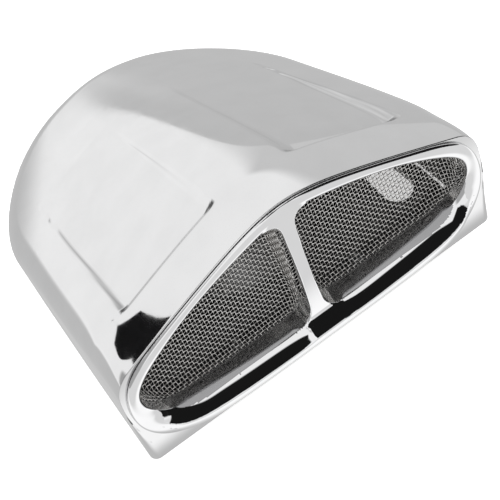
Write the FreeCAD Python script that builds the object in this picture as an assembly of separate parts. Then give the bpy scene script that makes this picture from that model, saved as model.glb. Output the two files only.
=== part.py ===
import FreeCAD, Part
import math
import os
from FreeCAD import Vector

# Twin-inlet cowl vent: a hollow tent-shaped scoop on a flat base, in millimetres.
# +Z is up, the mouth looks along -Y, the low nose is at +Y, left is -X.
# Everything is built with Y = 0 at the front edge of the feet and Z = 0 in the mounting
# plane. The export moves the origin to the duct axis.

os.makedirs("parts", exist_ok=True)

SIDES = (-1, 1)        # left, right

# Outer surface
WALL = 2.5             # cowl shell thickness
RIDGE_A = 117.3        # ridge height constant
RIDGE_Y = 33.0         # ridge crest position
RIDGE_W = 12.0         # crest softness
RIDGE_FRONT = 0.35     # ridge slope ahead of the crest
RIDGE_KINK = 0.875     # slope change over the crest
RIDGE_R = 30.0         # softness of the ridge across the part
FACET_FRONT = 0.46     # side slope of the roof at the mouth
FACET_REAR = 0.585     # side slope of the roof behind the brow
FACET_Y = 5.0          # where the side slope starts to change
FACET_L = 32.0         # length over which it changes
ROOF_SCALE = 1.27      # height above the roof per unit of the field
SIDE_X = 114.2         # half width of the upper side wall at Y = 0
SIDE_TAPER = 0.104
SIDE_BULGE = 1.6       # outward swell of the side wall above its foot
BULGE_H = 45.0         # height at which the swell is full
FOOT_X = 112.6         # half width of the foot at Y = 0, Z = 0
FOOT_TAPER = 0.076
FOOT_LEAN = 0.10       # outward lean of the foot facet
FOOT_BLEND = 2.0       # rounding between foot facet and side wall
BACK_Y = 222.0         # rear end
BACK_BOW = 0.0006      # rear wall curvature across the part
BACK_LEAN = 0.11       # forward lean of the rear wall
BACK_R = 64.0          # rear corner radius in plan
SHOULDER_R = 10.0      # roof-to-wall rounding
SHOULDER_POWER = 2.3
CORNER_R = 5.0         # rounding of the upright front corners at the feet
CORNER_R_TOP = 0.02    # the same higher up
CORNER_TOP = 46.0      # height where the corner rounding ends
CORNER_FADE = 34.0     # height over which it fades

# Recessed roof panels
REC_D = 3.6            # depth at the front edge
REC_Y0 = 33.0          # front edge
REC_Y1 = 160.0         # where the panels run out
REC_FULL = 3.0         # length at full depth
REC_XI = 20.0          # inner edge
REC_XO = 91.5          # outer edge at REC_XO_Y
REC_XO_Y = 35.0
REC_XO_TAPER = 0.145
REC_SIDE_STEP = 9.0    # width of the steps at the inner and outer edges
REC_MIN_STEP = 0.15    # smallest share of that width
REC_FRONT_STEP = 5.5   # length of the step at the front edge

# Mouth plane: Y = FRONT_A + FRONT_B * Z. "Forward" is a distance ahead of it, towards -Y.
FRONT_A = -2.6
FRONT_B = 0.13
MOUTH_Z = 48.0         # centre height of the mouth outlines

# Base
GASKET_T = 3.0
PLATE_T = 2.5
PLATE_TOP = GASKET_T + PLATE_T
PLATE_INSET = 6.0
PLATE_FRONT = 9.0
BASE_CENTRE_Y = 110.0  # centre of the rays that trace the base outlines
BASE_TRACE_Z = 1.5     # height of the traced section
DUCT_Y = 96.0          # duct axis behind the feet
DUCT_R = 38.0
COLLAR_T = 2.0
COLLAR_H = 30.0
COLLAR_R = DUCT_R + COLLAR_T
COLLAR_FLANGE_R = 52.0
COLLAR_LIP_W = 1.6
COLLAR_LIP_H = 2.5
COLLAR_SCREW_R = 47.0  # pitch radius
SHEET_T = 2.0          # collar flange and bracket thickness
BOLT_X = 140.0         # mounting bolt spacing across
BOLT_Y = 60.0          # mounting bolt spacing along
NUT_R = 4.45           # rivet nut body
SLOT_X = 85.5          # drain slot in the base plate, right side
SLOT_Y = 51.0
SLOT_R = 9.0
SLOT_L = 14.0          # between the end centres
WASHER_T = 0.8

# Bezel, screens and brackets
SEAL_T = 0.9           # bezel seal
SLEEVE_IN = 4.6        # bezel sleeve inset from the seam outline
SLEEVE_D = 6.0         # bezel sleeve depth behind the mouth plane
SLEEVE_GAP = 0.3       # clearance round the sleeve in the shell
SCREEN_T = 1.0         # thickness that stands for the crimped wires
SCREEN_Y0 = 12.5       # pan floor position at SCREEN_Z0
SCREEN_Z0 = 26.0
SCREEN_RAKE = 0.30
FRAME_T = 2.0          # clamp ring thickness
BEZEL_BACK = -SLEEVE_D                  # forward positions of the stacked faces
FRAME_FRONT = BEZEL_BACK - SCREEN_T
FRAME_BACK = FRAME_FRONT - FRAME_T
LUG_R = 4.2            # screw lugs of the clamp rings
LUG_H = 10.0
LUG_HALF_SLAB = 6.0    # half width of the slab that gives a lug its faces
BRACKET_X = 40.0
BRACKET_Z = 13.5       # upright hole
BRACKET_PLATE_Y = 22.0  # foot hole
BRACKET_TOP = 19.0
BRACKET_REAR = 30.0
BRACKET_W = 16.0

# Screws: shank radius, head radius, head height
FRAME_SCREW = (1.5, 2.9, 2.0)
SHEET_SCREW = (2.0, 3.7, 2.3)
POST_SCREW = (2.45, 4.2, 1.9)
SOCKET_DEPTH = 1.1

# x, z on the mouth plane
FRAME_SCREWS = [(22.0, 13.5), (58.0, 13.5), (84.0, 15.0)]

# x, y
BOLTS = [(i * BOLT_X / 2, DUCT_Y + j * BOLT_Y / 2) for i in SIDES for j in SIDES]
COLLAR_SCREWS = [(COLLAR_SCREW_R * math.cos(math.radians(i)),
                  DUCT_Y + COLLAR_SCREW_R * math.sin(math.radians(i))) for i in range(0, 360, 60)]
BRACKET_FEET = [(side * BRACKET_X, BRACKET_PLATE_Y) for side in SIDES]

# x, y, bore depth and screw reach above the plate
POSTS = {
    "front_left_post": (-84.0, 90.0, 14.0, 12.0),
    "front_right_post": (84.0, 90.0, 14.0, 12.0),
    "rear_left_post": (-48.0, 166.0, 10.5, 9.0),
    "rear_right_post": (48.0, 166.0, 10.5, 9.0),
}

# Right lower half of the seam between shell and bezel: x, z, from the side to the centre line
SEAM_LOW = [
    (106.0, 66.0), (111.3, 58.0), (114.2, 49.5), (114.5, 41.5), (113.1, 33.3), (110.4, 25.5),
    (106.2, 18.5), (100.7, 12.8), (93.2, 7.6), (84.0, 4.2), (74.0, 2.6), (60.0, 2.0),
    (40.0, 1.9), (20.0, 1.9), (0.0, 1.9)]

# Right inlet: x, z, from the top inner corner outwards, down and back up
INLET = [
    (8.5, 97.6), (17.0, 96.9), (30.0, 93.4), (44.0, 89.0), (57.0, 84.2), (70.0, 78.4),
    (82.0, 71.6), (92.0, 65.2), (99.0, 59.6), (103.4, 53.8), (104.6, 47.8), (103.6, 42.0),
    (100.6, 36.4), (96.0, 31.6), (90.0, 27.8), (82.0, 25.6), (70.0, 24.9), (56.0, 24.5),
    (42.0, 24.2), (28.0, 24.0), (17.0, 24.2), (9.6, 25.8), (5.6, 30.2), (4.4, 37.0),
    (3.9, 48.0), (3.7, 60.0), (3.8, 72.0), (4.1, 84.0), (4.9, 93.2)]

# Inlet tunnel through the bezel: growth of the inlet outline, forward position
TUNNEL = [(5.5, 18.0), (3.4, 9.5), (1.6, 6.5), (0.4, 3.5), (0.0, 0.0), (0.0, -12.0)]

# Screen pan: outline scale, share of the depth from bezel back to pan floor, shift along Y
PAN_OUTER = [(0.992, 0.0, 0.0), (0.988, 0.5, 0.0), (0.978, 0.8, 0.0), (0.955, 0.95, 0.0),
             (0.92, 1.0, 0.0)]
PAN_INNER = [(0.965, 0.0, -4.0), (0.965, 0.0, -SCREEN_T), (0.961, 0.5, -SCREEN_T),
             (0.952, 0.8, -SCREEN_T), (0.935, 0.94, -SCREEN_T), (0.90, 1.0, -SCREEN_T)]
PAN_OPENING = [(1.004, -0.6, 0.0), (1.0, 1.6, 0.0)]


# Outer surface as a field, negative inside

def smooth_step(t):
    t = max(0.0, min(1.0, t))
    return t * t * (3 - 2 * t)


def smooth_max(first, second, radius, power):
    first_in, second_in = first + radius, second + radius
    if first_in <= 0 or second_in <= 0:
        return max(first, second)
    return (first_in ** power + second_in ** power) ** (1.0 / power) - radius


def mouth_y(z):
    return FRONT_A + FRONT_B * z


def roof(x, y):
    run = y - RIDGE_Y
    ridge = (RIDGE_A + RIDGE_FRONT * run
             - RIDGE_KINK * 0.5 * (run + math.sqrt(run * run + RIDGE_W ** 2)))
    slope = FACET_FRONT + (FACET_REAR - FACET_FRONT) * smooth_step((y - FACET_Y) / FACET_L)
    return ridge - slope * (math.sqrt(x * x + RIDGE_R ** 2) - RIDGE_R)


def recess(x, y):
    fade = max(0.0, min(1.0, (REC_Y1 - y) / (REC_Y1 - REC_Y0 - REC_FULL)))
    step = REC_SIDE_STEP * max(fade, REC_MIN_STEP)
    outer_edge = REC_XO - REC_XO_TAPER * (y - REC_XO_Y)
    return (REC_D * fade * smooth_step((abs(x) - REC_XI) / step)
            * smooth_step((outer_edge - abs(x)) / step)
            * smooth_step((y - REC_Y0) / REC_FRONT_STEP))


def field(x, y, z, panels=True, mouth=True):
    """Outer surface, with or without the recessed panels and the cut at the mouth plane."""
    roof_z = roof(x, y)
    if panels:
        roof_z -= ROOF_SCALE * recess(x, y)
    top = (z - roof_z) / ROOF_SCALE
    wall = abs(x) - (SIDE_X - SIDE_TAPER * y) - SIDE_BULGE * smooth_step(z / BULGE_H)
    foot = abs(x) - (FOOT_X - FOOT_TAPER * y) - FOOT_LEAN * z
    side = smooth_max(wall, foot, FOOT_BLEND, 2.0)
    back = (y - BACK_Y) + BACK_BOW * x * x + BACK_LEAN * z
    body = smooth_max(top, smooth_max(side, back, BACK_R, 2.0), SHOULDER_R, SHOULDER_POWER)
    if not mouth:
        return body
    front = mouth_y(z) - y - 1e-6
    corner = CORNER_R_TOP + CORNER_R * smooth_step((CORNER_TOP - z) / CORNER_FADE)
    return smooth_max(body, front, corner, 2.0)


def reach(is_outside, far, steps=40):
    """Length along a ray at which it leaves the surface, by bisection."""
    near = 5.0
    for _ in range(steps):
        middle = 0.5 * (near + far)
        if is_outside(middle):
            far = middle
        else:
            near = middle
    return near


# Volumes under the surface: rays fan out in planes hinged on an X line below the mouth

HINGE_Z = -40.0
HINGE_Y = mouth_y(HINGE_Z)
FAN_FRONT = math.atan2(1.0, FRONT_B)    # in the mouth plane
FAN_BACK = math.radians(3.0)
FAN_CROWDING = 1.2                      # above 1, planes crowd towards the mouth
RAY_MIN = math.radians(9.0)             # angle of the outermost rays from the X axis


def surface_grid(planes, rays, offset, mouth):
    rows = []
    for j in range(planes):
        tilt = FAN_FRONT + (FAN_BACK - FAN_FRONT) * (j / (planes - 1.0)) ** FAN_CROWDING
        row = []
        for i in range(rays):
            share = -1 + 2.0 * i / (rays - 1.0)
            angle = math.pi / 2 - share * (math.pi / 2 - RAY_MIN)
            along = (math.cos(angle), math.sin(angle) * math.cos(tilt),
                     math.sin(angle) * math.sin(tilt))

            def point(length):
                return (along[0] * length, HINGE_Y + along[1] * length,
                        HINGE_Z + along[2] * length)

            length = reach(lambda t: field(*point(t), True, mouth) + offset > 0, 420.0, 46)
            row.append(Vector(*point(length)))
        rows.append(row)
    return rows


def fan_volume(grid):
    """Solid between the surface through a grid and the hinge point."""
    surface = Part.BSplineSurface()
    surface.interpolate(grid)
    u0, u1, v0, v1 = surface.bounds()
    faces = [surface.toShape()]
    for border in (surface.uIso(u0), surface.vIso(v1), surface.uIso(u1), surface.vIso(v0)):
        wire = Part.Wire([border.toShape()])
        pole = Part.Vertex(Vector(0, HINGE_Y, HINGE_Z))
        faces.append(Part.makeLoft([wire, pole], False, True).Faces[0])
    shell = Part.makeShell(faces)
    shell.sewShape()
    solid = Part.makeSolid(shell)
    if solid.Volume < 0:
        solid.reverse()
    return solid


# Basic shapes

def box(x0, x1, y0, y1, z0, z1):
    return Part.makeBox(x1 - x0, y1 - y0, z1 - z0, Vector(x0, y0, z0))


def upright(x, y, z0, z1, radius):
    return Part.makeCylinder(radius, z1 - z0, Vector(x, y, z0))


def mouth_cylinder(x, z, start, end, radius):
    """Cylinder square to the mouth plane, between two forward distances."""
    normal = Vector(0, -1, FRONT_B)
    normal.normalize()
    base = Vector(x, mouth_y(z), z) + normal * min(start, end)
    return Part.makeCylinder(radius, abs(end - start), base, normal)


def drill(solid, places, radius, z0=0, z1=20):
    for x, y in places:
        solid = solid.cut(upright(x, y, z0, z1, radius))
    return solid


def closed_spline(points):
    curve = Part.BSplineCurve()
    curve.interpolate(Points=[Vector(*point) for point in points], PeriodicFlag=True)
    return Part.Wire([curve.toShape()])


def loft(sections, ruled=True):
    solid = Part.makeLoft([closed_spline(section) for section in sections], True, ruled)
    if solid.Volume < 0:
        solid.reverse()
    return solid


def extruded_polygon(points, offset):
    return Part.Face(Part.makePolygon(points + points[:1])).extrude(offset)


# Outlines, as loops of (x, z) on the mouth plane or (x, y) on the base

def per_point(value, count):
    return value if isinstance(value, list) else [value] * count


def offset_loop(points, inward):
    """Move a loop inward by one distance, or by a list with one for each point."""
    count = len(points)
    area = 0.0
    for i in range(count):
        x0, z0 = points[i]
        x1, z1 = points[(i + 1) % count]
        area += x0 * z1 - x1 * z0
    turn = 1.0 if area > 0 else -1.0
    moved = []
    for i, distance in enumerate(per_point(inward, count)):
        x0, z0 = points[i - 1]
        x1, z1 = points[(i + 1) % count]
        run, rise = x1 - x0, z1 - z0
        length = math.hypot(run, rise)
        moved.append((points[i][0] + -rise / length * turn * distance,
                      points[i][1] + run / length * turn * distance))
    return moved


def smoothed(points):
    for _ in range(2):
        count = len(points)
        points = [tuple((points[i - 1][k] + 2 * points[i][k] + points[(i + 1) % count][k]) / 4
                        for k in (0, 1)) for i in range(count)]
    return points


def put(loop, forward):
    """Place an (x, z) loop ahead of the mouth plane, by one distance or one per point."""
    return [(x, mouth_y(z) - ahead, z)
            for (x, z), ahead in zip(loop, per_point(forward, len(loop)))]


def slab(loop, start, end, ruled=True):
    return loft([put(loop, start), put(loop, end)], ruled)


def shell_radius(angle):
    def is_outside(radius):
        z = MOUTH_Z + radius * math.cos(angle)
        return field(radius * math.sin(angle), mouth_y(z), z, False, False) > 0
    return reach(is_outside, 200.0)


def low_seam_radius(angle):
    """Radius of the SEAM_LOW polyline at an angle from the top; no limit above its start."""
    angle = abs(angle)
    points = [(x, z - MOUTH_Z) for x, z in SEAM_LOW]
    if angle <= math.atan2(*points[0]):
        return math.inf
    for (x0, z0), (x1, z1) in zip(points, points[1:]):
        if angle <= math.atan2(x1, z1) + 1e-9:
            break
    run, rise = x1 - x0, z1 - z0
    sine, cosine = math.sin(angle), math.cos(angle)
    share = (z0 * sine - x0 * cosine) / (run * cosine - rise * sine)
    return math.hypot(x0 + share * run, z0 + share * rise)


def seam_outline(count=72, inset=0.5):
    points = []
    for i in range(count):
        angle = -math.pi + 2 * math.pi * i / count
        radius = min(shell_radius(angle) - inset, low_seam_radius(angle))
        points.append((radius * math.sin(angle), MOUTH_Z + radius * math.cos(angle)))
    return smoothed(points)


def inlet_loop(side, growth=0.0):
    return offset_loop([(side * x, z) for x, z in INLET], -growth)


def base_prism(inset, front_y, z0, z1, count=80):
    """Upright prism on the foot outline, moved inward and cut off at the front."""
    points = []
    for i in range(count):
        angle = 2 * math.pi * i / count
        across, along = math.sin(angle), math.cos(angle)

        def is_outside(radius):
            y = BASE_CENTRE_Y + radius * along
            return field(radius * across, y, BASE_TRACE_Z, False) + inset > 0 or y < front_y

        radius = reach(is_outside, 200.0)
        points.append((radius * across, BASE_CENTRE_Y + radius * along))
    wire = closed_spline([(x, y, z0) for x, y in smoothed(points)])
    return Part.Face(wire).extrude(Vector(0, 0, z1 - z0))


SEAM = seam_outline()
SLEEVE = offset_loop(SEAM, SLEEVE_IN)
INNER_VOLUME = fan_volume(surface_grid(56, 70, WALL, False))


# Screws

def mouth_screw(x, z, seat, tip, size):
    """Screw square to the mouth plane, with its head behind the seat."""
    radius, head_r, head_h = size
    screw = mouth_cylinder(x, z, seat, seat - head_h, head_r)
    screw = screw.fuse(mouth_cylinder(x, z, seat, tip, radius))
    return screw.cut(mouth_cylinder(x, z, seat - head_h, seat - head_h + 1.2, head_r * 0.45))


def sheet_screw(x, y):
    """Round-headed screw from above, through a sheet into the base plate."""
    radius, head_r, head_h = SHEET_SCREW
    seat = PLATE_TOP + SHEET_T
    top = seat + head_h
    head = upright(x, y, seat, top, head_r)
    rim = [edge for edge in head.Edges
           if abs(edge.BoundBox.ZMin - top) < 1e-4 and abs(edge.BoundBox.ZMax - top) < 1e-4]
    head = head.makeFillet(head_h * 0.45, rim)
    screw = head.fuse(upright(x, y, GASKET_T + 0.2, seat, radius))
    return screw.cut(upright(x, y, top - SOCKET_DEPTH, top + 1, head_r * 0.42))


def post_screw(x, y, tip):
    """Screw from below, through a washer and the base plate into a post."""
    radius, head_r, head_h = POST_SCREW
    seat = GASKET_T - WASHER_T
    bottom = seat - head_h
    screw = upright(x, y, bottom, seat, head_r).fuse(upright(x, y, seat, tip, radius))
    return screw.cut(upright(x, y, bottom - 1, bottom + SOCKET_DEPTH, head_r * 0.42))


# Pieces

def make_cowl_shell():
    outer = fan_volume(surface_grid(84, 120, 0.0, True))
    outer = outer.common(box(-160, 160, -40, 260, 0, 160))
    # everything more than a wall thickness behind the mouth plane
    profile = [Vector(-200, mouth_y(-80) + WALL, -80), Vector(-200, mouth_y(200) + WALL, 200),
               Vector(-200, 400, 200), Vector(-200, 400, -80)]
    cavity = INNER_VOLUME.common(extruded_polygon(profile, Vector(400, 0, 0)))
    cavity = cavity.common(box(-160, 160, -40, 260, -10, 160))
    sleeve_hole = slab(offset_loop(SEAM, SLEEVE_IN - SLEEVE_GAP), 4.0, -12.0, ruled=False)
    return outer.cut(cavity).cut(sleeve_hole)


def blend_by_height(z, top, middle, low):
    upper = top + (middle - top) * smooth_step((92.0 - z) / 40.0)
    return upper + (low - upper) * smooth_step((30.0 - z) / 24.0)


def crest_forward(z):
    return blend_by_height(z, 3.0, 3.6, 12.0)


def make_mouth_bezel():
    # rim: a quarter roll from the seam to the crest
    widths = [blend_by_height(z, 2.6, 5.5, 11.0) for x, z in SEAM]
    sections = [put(SLEEVE, -SLEEVE_D), put(SLEEVE, SEAL_T), put(SEAM, SEAL_T)]
    for degrees in (12, 25, 40, 55, 70, 82, 90):
        sine, cosine = math.sin(math.radians(degrees)), math.cos(math.radians(degrees))
        loop = offset_loop(SEAM, [width * (1 - cosine) for width in widths])
        sections.append(put(loop, [SEAL_T + (crest_forward(z) - SEAL_T) * sine
                                   for x, z in SEAM]))
    # front face: the crest outline shrunk towards the mouth centre
    crest = offset_loop(SEAM, widths)
    for t in (0.08, 0.3, 0.6, 0.97):
        loop = [(x * (1 - t), MOUTH_Z + (z - MOUTH_Z) * (1 - t)) for x, z in crest]
        sections.append(put(loop, [crest_forward(z) for x, z in loop]))
    tunnels = [loft([put(inlet_loop(side, growth), forward) for growth, forward in TUNNEL])
               for side in SIDES]
    bezel = loft(sections).cut(tunnels)
    for side in SIDES:
        for x, z in FRAME_SCREWS:
            bezel = bezel.cut(mouth_cylinder(side * x, z, -8.0, 2.0, 1.55))
        bezel = bezel.cut(mouth_cylinder(side * BRACKET_X, BRACKET_Z, -8.0, 3.0, 2.05))
    return bezel


def make_bezel_seal():
    return slab(offset_loop(SEAM, 0.9), 0.0, SEAL_T).cut(slab(SLEEVE, -2.0, 4.0))


def pan_loft(side, stations):
    """Loft of scaled inlet outlines, from the bezel back towards the raked pan floor."""
    loop = inlet_loop(side)
    centre_x = sum(x for x, z in loop) / len(loop)
    centre_z = sum(z for x, z in loop) / len(loop)
    sections = []
    for scale, depth, shift in stations:
        section = []
        for x, z in loop:
            x = centre_x + (x - centre_x) * scale
            z = centre_z + (z - centre_z) * scale
            start = mouth_y(z) - BEZEL_BACK
            floor = SCREEN_Y0 + SCREEN_RAKE * (z - SCREEN_Z0)
            section.append((x, start + (floor - start) * depth + shift, z))
        sections.append(section)
    return loft(sections)


def make_screen(side):
    flange = slab(inlet_loop(side, 2.7), BEZEL_BACK, FRAME_FRONT)
    return pan_loft(side, PAN_OUTER).fuse(flange).cut(pan_loft(side, PAN_INNER))


def make_screen_frame(side):
    """Clamp ring behind the screen flange, with lugs rising from screw bosses."""
    frame = slab(inlet_loop(side, 2.9), FRAME_FRONT, FRAME_BACK)
    for x, z in FRAME_SCREWS:
        x = side * x
        boss = mouth_cylinder(x, z, FRAME_FRONT, FRAME_BACK, LUG_R)
        block = box(x - LUG_R, x + LUG_R, -30, 60, z, z + LUG_H)
        left, right = x - LUG_HALF_SLAB, x + LUG_HALF_SLAB
        low, high = z - 1, z + LUG_H + 1
        slab_loop = [(left, low), (right, low), (right, high), (left, high)]
        lug = block.common(slab(slab_loop, FRAME_FRONT, FRAME_BACK))
        frame = frame.fuse(boss.fuse(lug))
    frame = frame.cut(pan_loft(side, PAN_OPENING))
    for x, z in FRAME_SCREWS:
        frame = frame.cut(mouth_cylinder(side * x, z, 0, -16, 1.65))
    return frame


def make_base_plate():
    plate = base_prism(PLATE_INSET, PLATE_FRONT, GASKET_T, PLATE_TOP)
    plate = drill(plate, [(0, DUCT_Y)], COLLAR_R + 0.3)
    plate = drill(plate, BOLTS, 4.5)
    plate = drill(plate, [post[:2] for post in POSTS.values()], 2.75)
    plate = drill(plate, COLLAR_SCREWS, 2.05)
    plate = drill(plate, BRACKET_FEET, 2.05)
    # drain slot behind the right inlet
    y0, y1 = SLOT_Y - SLOT_L / 2, SLOT_Y + SLOT_L / 2
    plate = drill(plate, [(SLOT_X, y0), (SLOT_X, y1)], SLOT_R)
    return plate.cut(box(SLOT_X - SLOT_R, SLOT_X + SLOT_R, y0, y1, 0, 20))


def make_base_gasket():
    gasket = base_prism(PLATE_INSET - 1.0, PLATE_FRONT - 1.0, 0.0, GASKET_T)
    return gasket.cut(base_prism(14.0, 16.0, -1.0, GASKET_T + 1))


def make_duct_collar():
    collar = upright(0, DUCT_Y, 0.0, COLLAR_H, COLLAR_R)
    collar = collar.fuse(upright(0, DUCT_Y, PLATE_TOP, PLATE_TOP + SHEET_T, COLLAR_FLANGE_R))
    collar = collar.fuse(upright(0, DUCT_Y, COLLAR_H - COLLAR_LIP_H, COLLAR_H,
                                 COLLAR_R + COLLAR_LIP_W))
    collar = collar.cut(upright(0, DUCT_Y, -1, COLLAR_H + 1, DUCT_R))
    return drill(collar, COLLAR_SCREWS, 2.1, 5, 9)


def make_post(x, y, bore_depth):
    """Post from the base plate up to the inside of the shell."""
    post = upright(x, y, PLATE_TOP, 110.0, 5.0).common(INNER_VOLUME)
    post = post.fuse(upright(x, y, PLATE_TOP, PLATE_TOP + 1.5, 7.0))
    return post.cut(upright(x, y, 0, PLATE_TOP + bore_depth, 2.5))


def make_washer(x, y):
    return upright(x, y, GASKET_T - WASHER_T, GASKET_T, 5.0).cut(upright(x, y, 0, 9, 2.7))


def make_bracket(side):
    """Angle bracket: upright against the bezel back, foot on the base plate."""
    foot_top = PLATE_TOP + SHEET_T
    profile = [(mouth_y(PLATE_TOP) - BEZEL_BACK, PLATE_TOP),
               (mouth_y(BRACKET_TOP) - BEZEL_BACK, BRACKET_TOP),
               (mouth_y(BRACKET_TOP) - BEZEL_BACK + SHEET_T, BRACKET_TOP),
               (mouth_y(foot_top) - BEZEL_BACK + SHEET_T, foot_top),
               (BRACKET_REAR, foot_top), (BRACKET_REAR, PLATE_TOP)]
    left = side * BRACKET_X - BRACKET_W / 2
    bracket = extruded_polygon([Vector(left, y, z) for y, z in profile],
                               Vector(BRACKET_W, 0, 0))
    bracket = bracket.cut(mouth_cylinder(side * BRACKET_X, BRACKET_Z, 0, -14, 2.1))
    return bracket.cut(upright(side * BRACKET_X, BRACKET_PLATE_Y, 4, 12, 2.1))


def make_rivet_nut(x, y):
    nut = upright(x, y, GASKET_T - 1.0, GASKET_T, 6.5)
    nut = nut.fuse(upright(x, y, GASKET_T - 0.5, PLATE_TOP + 9.0, NUT_R))
    nut = nut.fuse(upright(x, y, PLATE_TOP, PLATE_TOP + 3.0, 5.6))
    return nut.cut(upright(x, y, 0, 40, 2.6))


pieces = {
    "cowl_shell": make_cowl_shell(),
    "mouth_bezel": make_mouth_bezel(),
    "bezel_seal": make_bezel_seal(),
    "base_plate": make_base_plate(),
    "base_gasket": make_base_gasket(),
    "duct_collar": make_duct_collar(),
}
for side, label in zip(SIDES, ("left", "right")):
    pieces[label + "_screen"] = make_screen(side)
    pieces[label + "_screen_frame"] = make_screen_frame(side)
    pieces[label + "_bezel_bracket"] = make_bracket(side)
for name, (x, y, bore_depth, screw_reach) in POSTS.items():
    pieces[name] = make_post(x, y, bore_depth)

# Repeated fixings, one compound for each kind
fixings = {
    "screen_frame_screws": [mouth_screw(side * x, z, FRAME_BACK, 1.5, FRAME_SCREW)
                            for side in SIDES for x, z in FRAME_SCREWS],
    "bracket_bezel_screws": [mouth_screw(side * BRACKET_X, BRACKET_Z, BEZEL_BACK - SHEET_T,
                                         2.5, SHEET_SCREW) for side in SIDES],
    "bracket_plate_screws": [sheet_screw(x, y) for x, y in BRACKET_FEET],
    "collar_screws": [sheet_screw(x, y) for x, y in COLLAR_SCREWS],
    "base_plate_screws": [post_screw(x, y, PLATE_TOP + screw_reach)
                          for x, y, bore_depth, screw_reach in POSTS.values()],
    "base_plate_washers": [make_washer(*post[:2]) for post in POSTS.values()],
    "rivet_nuts": [make_rivet_nut(x, y) for x, y in BOLTS],
}
for name, solids in fixings.items():
    pieces[name] = Part.makeCompound(solids)

for name, piece in pieces.items():
    shape = piece.copy()
    shape.translate(Vector(0, -DUCT_Y, 0))
    shape.exportStep("parts/%s.step" % name)
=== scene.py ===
"""Chrome duct cowl with a twin-inlet mouth, woven wire screens and a bolted base.

The shape functions work in millimetres: x to the right, y from the front of the feet
towards the back, z up from the floor. metres() moves points into the row frame, whose
origin lies on the duct axis.
"""
import bpy
import math
import numpy as np
from mathutils import Matrix, Vector


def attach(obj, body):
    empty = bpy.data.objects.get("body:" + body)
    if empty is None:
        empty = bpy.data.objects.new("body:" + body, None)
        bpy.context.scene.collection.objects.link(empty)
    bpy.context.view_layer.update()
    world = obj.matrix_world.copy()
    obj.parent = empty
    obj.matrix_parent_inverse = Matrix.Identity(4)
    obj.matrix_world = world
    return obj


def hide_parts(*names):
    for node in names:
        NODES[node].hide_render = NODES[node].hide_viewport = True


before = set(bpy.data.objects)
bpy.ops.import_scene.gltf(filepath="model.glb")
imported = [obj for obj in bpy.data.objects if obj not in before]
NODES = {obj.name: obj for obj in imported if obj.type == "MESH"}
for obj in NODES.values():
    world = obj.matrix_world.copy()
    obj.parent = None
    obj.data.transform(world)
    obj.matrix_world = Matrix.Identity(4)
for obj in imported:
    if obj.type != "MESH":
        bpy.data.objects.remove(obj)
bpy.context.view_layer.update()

# ---------------------------------------------------------------------------
# Main dimensions, in millimetres
# ---------------------------------------------------------------------------
DUCT_Y = 96.0                       # duct axis behind the front of the feet
WALL = 2.5                          # shell thickness
MOUTH_Y, MOUTH_LEAN = -2.6, 0.13    # mouth plane: y at the floor, y gained per z
MOUTH_MID_Z = 48.0                  # height that angles around the mouth are taken from
SEAL_T = 0.9                        # seal between shell and bezel

# ridge along the middle of the roof: rises, then bends down past RIDGE_BEND_Y
RIDGE_Z, RIDGE_BEND_Y, RIDGE_BEND_LENGTH = 117.3, 33.0, 12.0
RIDGE_RISE, RIDGE_KINK = 0.35, 0.875
# roof slope away from the ridge, at the front and further back
SLOPE_FRONT, SLOPE_BACK, RIDGE_ROUND = 0.46, 0.585, 30.0
ROOF_SCALE = 1.27                   # turns height above the sloping roof into distance
RECESS_DEPTH = 3.6
# half widths at the front, their taper per y, and how the sides bulge or lean
SIDE_X, SIDE_TAPER, SIDE_BULGE = 114.2, 0.104, 1.6
FOOT_X, FOOT_TAPER, FOOT_LEAN = 112.6, 0.076, 0.10
BACK_Y, BACK_LEAN, BACK_CURVE = 222.0, 0.11, 0.0006
BACK_CORNER, ROOF_CORNER, ROOF_CORNER_POWER = 64.0, 10.0, 2.3


# ---------------------------------------------------------------------------
# Shape functions: negative inside the solid, positive outside
# ---------------------------------------------------------------------------
def metres(points):
    moved = np.array(points, float)
    moved[..., 1] -= DUCT_Y
    return moved / 1000.0


def smooth(t):
    t = np.clip(t, 0, 1)
    return t * t * (3 - 2 * t)


def smax(a, b, radius, power=2.0):
    """maximum of a and b with the corner between them rounded"""
    pa = np.maximum(a + radius, 0)
    pb = np.maximum(b + radius, 0)
    rounded = (pa ** power + pb ** power) ** (1. / power) - radius
    return np.where((pa <= 0) | (pb <= 0), np.maximum(a, b), rounded)


def smin(a, b, radius):
    return -smax(-a, -b, radius)


def mouth_y(z):
    return MOUTH_Y + MOUTH_LEAN * z


def ridge(y):
    t = y - RIDGE_BEND_Y
    bend = t + np.sqrt(t * t + RIDGE_BEND_LENGTH ** 2)
    return RIDGE_Z + RIDGE_RISE * t - RIDGE_KINK * 0.5 * bend


def roof(x, y):
    slope = SLOPE_FRONT + (SLOPE_BACK - SLOPE_FRONT) * smooth((y - 5) / 32.)
    return ridge(y) - slope * (np.sqrt(x * x + RIDGE_ROUND ** 2) - RIDGE_ROUND)


def recess(x, y):
    """depth of the two pressed recesses, one on each side of the ridge"""
    half = np.abs(x)
    fade = np.clip((160. - y) / 124., 0, 1)
    blend_width = 9.0 * np.maximum(fade, 0.15)
    outer_edge = 91.5 - 0.145 * (y - 35.)
    across = smooth((half - 20.) / blend_width) * smooth((outer_edge - half) / blend_width)
    return RECESS_DEPTH * fade * across * smooth((y - 33.) / 5.5)


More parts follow.
